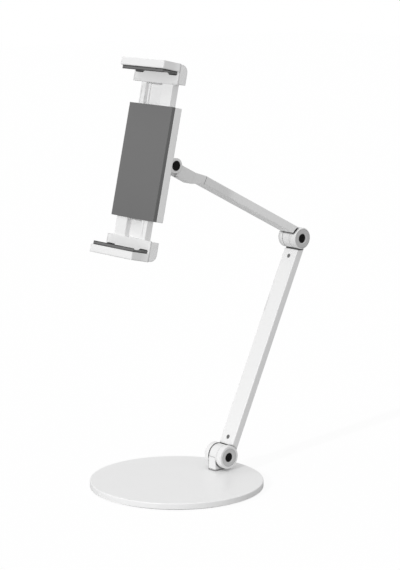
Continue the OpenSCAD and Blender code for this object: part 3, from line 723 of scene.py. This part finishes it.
def cut_cross(screw, head_r, head_h):
    """Take two crossed blades out of a screw's head."""
    reach = head_r * BLADE_SHARE
    blade = start_block("blade", (-reach, -BLADE_HALF, head_h * BLADE_FOOT_SHARE),
                        (reach, BLADE_HALF, head_h + 1))
    bpy.ops.object.mode_set(mode="OBJECT")
    for turn in (0, math.pi / 2):
        tool = copy_to(blade, "tool", Matrix.Rotation(turn, 4, "Z"))
        take(screw)
        cutter = screw.modifiers.new("cross", "BOOLEAN")
        cutter.operation = "DIFFERENCE"
        cutter.solver = "EXACT"
        cutter.object = tool
        bpy.ops.object.modifier_apply(modifier=cutter.name)
        bpy.data.objects.remove(tool)
    bpy.data.objects.remove(blade)

# %% [markdown]
# A head is a short cylinder with its upper rim rounded, and the shank is pulled out of its underside. One
# screw of each size is modelled, and every one on the stand is a copy at its own place with its own mesh.

# %% Helpers for whole screws
HEAD_SIDES, HEAD_ROUND, ROUND_SHARE = 40, 0.35, 0.4


def make_screw(name, head_r, head_h, long):
    """A cross-head screw, its head's underside at the origin and its shank along -Z."""
    bpy.ops.object.select_all(action="DESELECT")
    bpy.ops.mesh.primitive_cylinder_add(vertices=HEAD_SIDES, radius=head_r, depth=head_h,
                                        location=(0, 0, head_h / 2))
    screw = bpy.context.object
    screw.name = name
    bpy.ops.object.transform_apply(location=True, rotation=True, scale=True)
    bpy.ops.object.mode_set(mode="EDIT")
    choose(screw, "EDGE", lambda e: at(e).z > head_h - NEAR and at(e).length > head_r * 0.9)
    bevel(min(HEAD_ROUND, head_h * ROUND_SHARE))
    choose(screw, "FACE", lambda f: looks(f, 2, -1))
    bpy.ops.mesh.inset(thickness=head_r - SHANK_R)
    pull(0, 0, -long)
    bpy.ops.object.mode_set(mode="OBJECT")
    cut_cross(screw, head_r, head_h)
    return screw


def put(screw, name, frame_matrix, spot, towards_front, body, node):
    """A copy of the screw at a spot of a frame, in millimetres, its head to the front or the back."""
    turn = Matrix.Rotation(math.radians(90 if towards_front else -90), 4, "X")
    move = Matrix.Translation([value * MM for value in spot])
    twin = copy_to(screw, name, frame_matrix @ move @ turn @ Matrix.Scale(MM, 4))
    twin.data.materials.clear()
    dress(twin, dark_steel)
    take(twin)
    bpy.ops.object.shade_smooth_by_angle(angle=math.radians(SMOOTH_BELOW))
    stand_for(twin, body, "dark_steel", node)

# %% [markdown]
# The tubes' screws are sunk a little into the face they go through, on the front of the lower arm and on
# top of the upper one. The others come in from behind, four in the holder and a pair in each jaw's cover.

# %% Screws
TUBE_FRONT, TUBE_BACK, SINK = 1.2, 10.6, 0.7
LOWER_LEN, SCREW_AT, NECK_SCREW_AT = 272, 23.1, UPPER_LEN - NECK_LEN - 12
HOUSING_SCREW_X, HOUSING_BACK, HOUSING_SCREW_Z = 32.7, 12.3, 54.5
COVER_SCREW_X, COVER_BACK, COVER_SCREW_UP = 33.3, 10.2, 9
LEFT_RIGHT = ((-1, "left"), (1, "right"))

tube_screw = make_screw("tube_screw", 2.5, SINK - 0.1, 5.5)
for end, z in (("bottom", SCREW_AT), ("top", LOWER_LEN - SCREW_AT)):
    put(tube_screw, "lower_tube_screw_" + end, LOWER_ARM, (0, TUBE_FRONT + SINK, z), True, "lower_arm",
        "lower_tube_screws")
for end, z in (("elbow", SCREW_AT), ("neck", NECK_SCREW_AT)):
    put(tube_screw, "upper_tube_screw_" + end, UPPER_ARM, (0, TUBE_BACK - SINK, z), False, "upper_arm",
        "upper_tube_screws")

housing_screw = make_screw("housing_screw", 2.6, 1.3, 10.7)
for across, side in LEFT_RIGHT:
    for up, level in ((-1, "low"), (1, "high")):
        put(housing_screw, "housing_screw_" + side + "_" + level, HEAD,
            (across * HOUSING_SCREW_X, HOUSING_BACK, up * HOUSING_SCREW_Z), False, "holder", "housing_screws")

cover_screw = make_screw("cover_screw", 2.2, 1.4, 7.0)
for across, side in LEFT_RIGHT:
    for jaw, up, out in (("upper", 1, UPPER_OUT), ("lower", -1, LOWER_OUT)):
        put(cover_screw, jaw + "_cover_screw_" + side, HEAD,
            (across * COVER_SCREW_X, COVER_BACK, up * (HOLDER_HALF_H + out + COVER_SCREW_UP)), False,
            jaw + "_jaw", jaw + "_jaw_screws")

for model in (tube_screw, housing_screw, cover_screw):
    bpy.data.objects.remove(model)

# %% [markdown]
# Rings, plugs and caps were turned or moulded round an axis, so they are spun: a small flat profile is
# drawn on one side of the axis, its corners are rounded, and it is swept once round. Sweeping closes on
# itself, so the doubled seam is merged and the faces are turned outwards at the end. A profile's points
# are (along the axis, out from it), from the back of the piece to its outer end.

# %% Helper for turned pieces
def spin_profile(name, points, steps=72):
    """A closed profile swept once round the X axis."""
    bpy.ops.object.select_all(action="DESELECT")
    bpy.ops.mesh.primitive_circle_add(vertices=len(points), radius=1, fill_type="NOTHING")
    obj = bpy.context.object
    obj.name = name
    for vertex, (x, r) in zip(obj.data.vertices, points):
        vertex.co = (x, 0, r)
    bpy.ops.object.mode_set(mode="EDIT")
    bpy.ops.mesh.select_all(action="SELECT")
    bpy.ops.mesh.spin(steps=steps, angle=2 * math.pi, center=(0, 0, 0), axis=(1, 0, 0))
    bpy.ops.mesh.select_all(action="SELECT")
    bpy.ops.mesh.remove_doubles(threshold=0.001)
    return obj

# %% [markdown]
# A ring lies in the right end of each big barrel with a dark plug sunk in its middle, and a dished cap
# closes each end of the tilt hinge.

# %% Turned pieces
BARREL_END = 14.4
PLUG_R, PLUG_IN, PLUG_THICK, DISH_R, DISH_DEEP = 5.4, 1.5, 0.7, 2.3, 0.5
RING_THICK, RING_ROUND, RING_HOLE = 0.8, 0.2, PLUG_R + 0.06
RINGS = (("lower_hinge", LOWER_HINGE, 10.6), ("elbow", ELBOW, 11.2))
CAP_R, CAP_SEAT, CAP_THICK = 5.7, 9.5, 0.9
TURNED_SMOOTH = 25


def ring_profile(end, outer):
    """A flat ring with a rounded rim and a flared hole."""
    back = end - RING_THICK
    return [(back, RING_HOLE), (back, outer), (end - RING_ROUND, outer), (end, outer - RING_ROUND),
            (end, PLUG_R + 1.1), (end - 0.15, PLUG_R + 0.8), (end - 0.6, RING_HOLE)]


def plug_profile(end):
    """A disc with a softened rim and a dish in its middle."""
    back, dish = end - PLUG_THICK, end - DISH_DEEP
    return [(back, 0), (back, PLUG_R), (end - 0.15, PLUG_R), (end, PLUG_R - 0.15),
            (end, DISH_R + 0.3), (dish, DISH_R), (dish, 0)]


def cap_profile(seat):
    """A cap with a rounded rim and a shallow dish."""
    back, top, dish = seat - CAP_THICK, seat + 0.5, seat + 0.2
    return [(back, 0), (back, CAP_R), (seat + 0.05, CAP_R), (seat + 0.35, CAP_R - 0.25), (top, 5.0),
            (top, 3.6), (dish, 3.3), (dish, 0)]


for joint, place, ring_r in RINGS:
    ring = spin_profile(joint + "_trim", ring_profile(BARREL_END, ring_r))
    settle(ring, place, trim, smooth=TURNED_SMOOTH)
    stand_for(ring, "lower_arm", "grey_trim", joint + "_ring")
    plug = spin_profile(joint + "_cap", plug_profile(BARREL_END - PLUG_IN))
    settle(plug, place, black, smooth=TURNED_SMOOTH)
    stand_for(plug, "lower_arm", "black_plastic", joint + "_plug")
for across, side in LEFT_RIGHT:
    cap = spin_profile("tilt_cap_" + side, cap_profile(CAP_SEAT))
    settle(cap, TILT @ Matrix.Rotation(0 if across > 0 else math.pi, 4, "Z"), black, smooth=TURNED_SMOOTH)
    stand_for(cap, "upper_arm", "black_plastic", "tilt_caps")

# %% [markdown]
# The floor is pale and plain. Light that bounces from it is part of the picture, so it is a real diffuse
# surface. What the camera sees of it is lifted to white, and the object's own shadow stays on it, faint.

# %% Floor
SHADOW_SHARE, FLOOR_BOUNCE, FLOOR_SIDE = 0.10, 0.52, 12

bpy.ops.object.select_all(action="DESELECT")
bpy.ops.mesh.primitive_plane_add(size=FLOOR_SIDE, location=(0, 0, 0))
floor = bpy.context.object
floor.name = "floor"
ground = bpy.data.materials.new("pale_floor")
tree = empty_tree(ground)
bright = new_node(tree, "ShaderNodeBsdfDiffuse", Color=WHITE)
glow = new_node(tree, "ShaderNodeEmission", Color=WHITE, Strength=1.0)
lifted = new_node(tree, "ShaderNodeMixShader", Fac=1 - SHADOW_SHARE)
tree.links.new(bright.outputs[0], lifted.inputs[1])
tree.links.new(glow.outputs[0], lifted.inputs[2])
split_by_camera(
    tree,
    seen=lifted,
    unseen=new_node(tree, "ShaderNodeBsdfDiffuse", Color=(*grey(FLOOR_BOUNCE), 1)),
    output=tree.nodes.new("ShaderNodeOutputMaterial"),
)
dress(floor, ground)
print("floor under the base")

# %% [markdown]
# The upper jaw's lip and lining stand far out over its wall. In the picture they throw no shadow of the
# low front lamp on it, so that one lamp passes them.

# %% Shadow of the upper jaw
passed = bpy.data.collections.new("passed_by_key")
for piece in (frame["nodes"]["upper_jaw_frame"], upper_lining):
    passed.objects.link(piece)
bpy.data.objects["key"].light_linking.blocker_collection = passed
for link in passed.collection_objects:
    link.light_linking.link_state = "EXCLUDE"
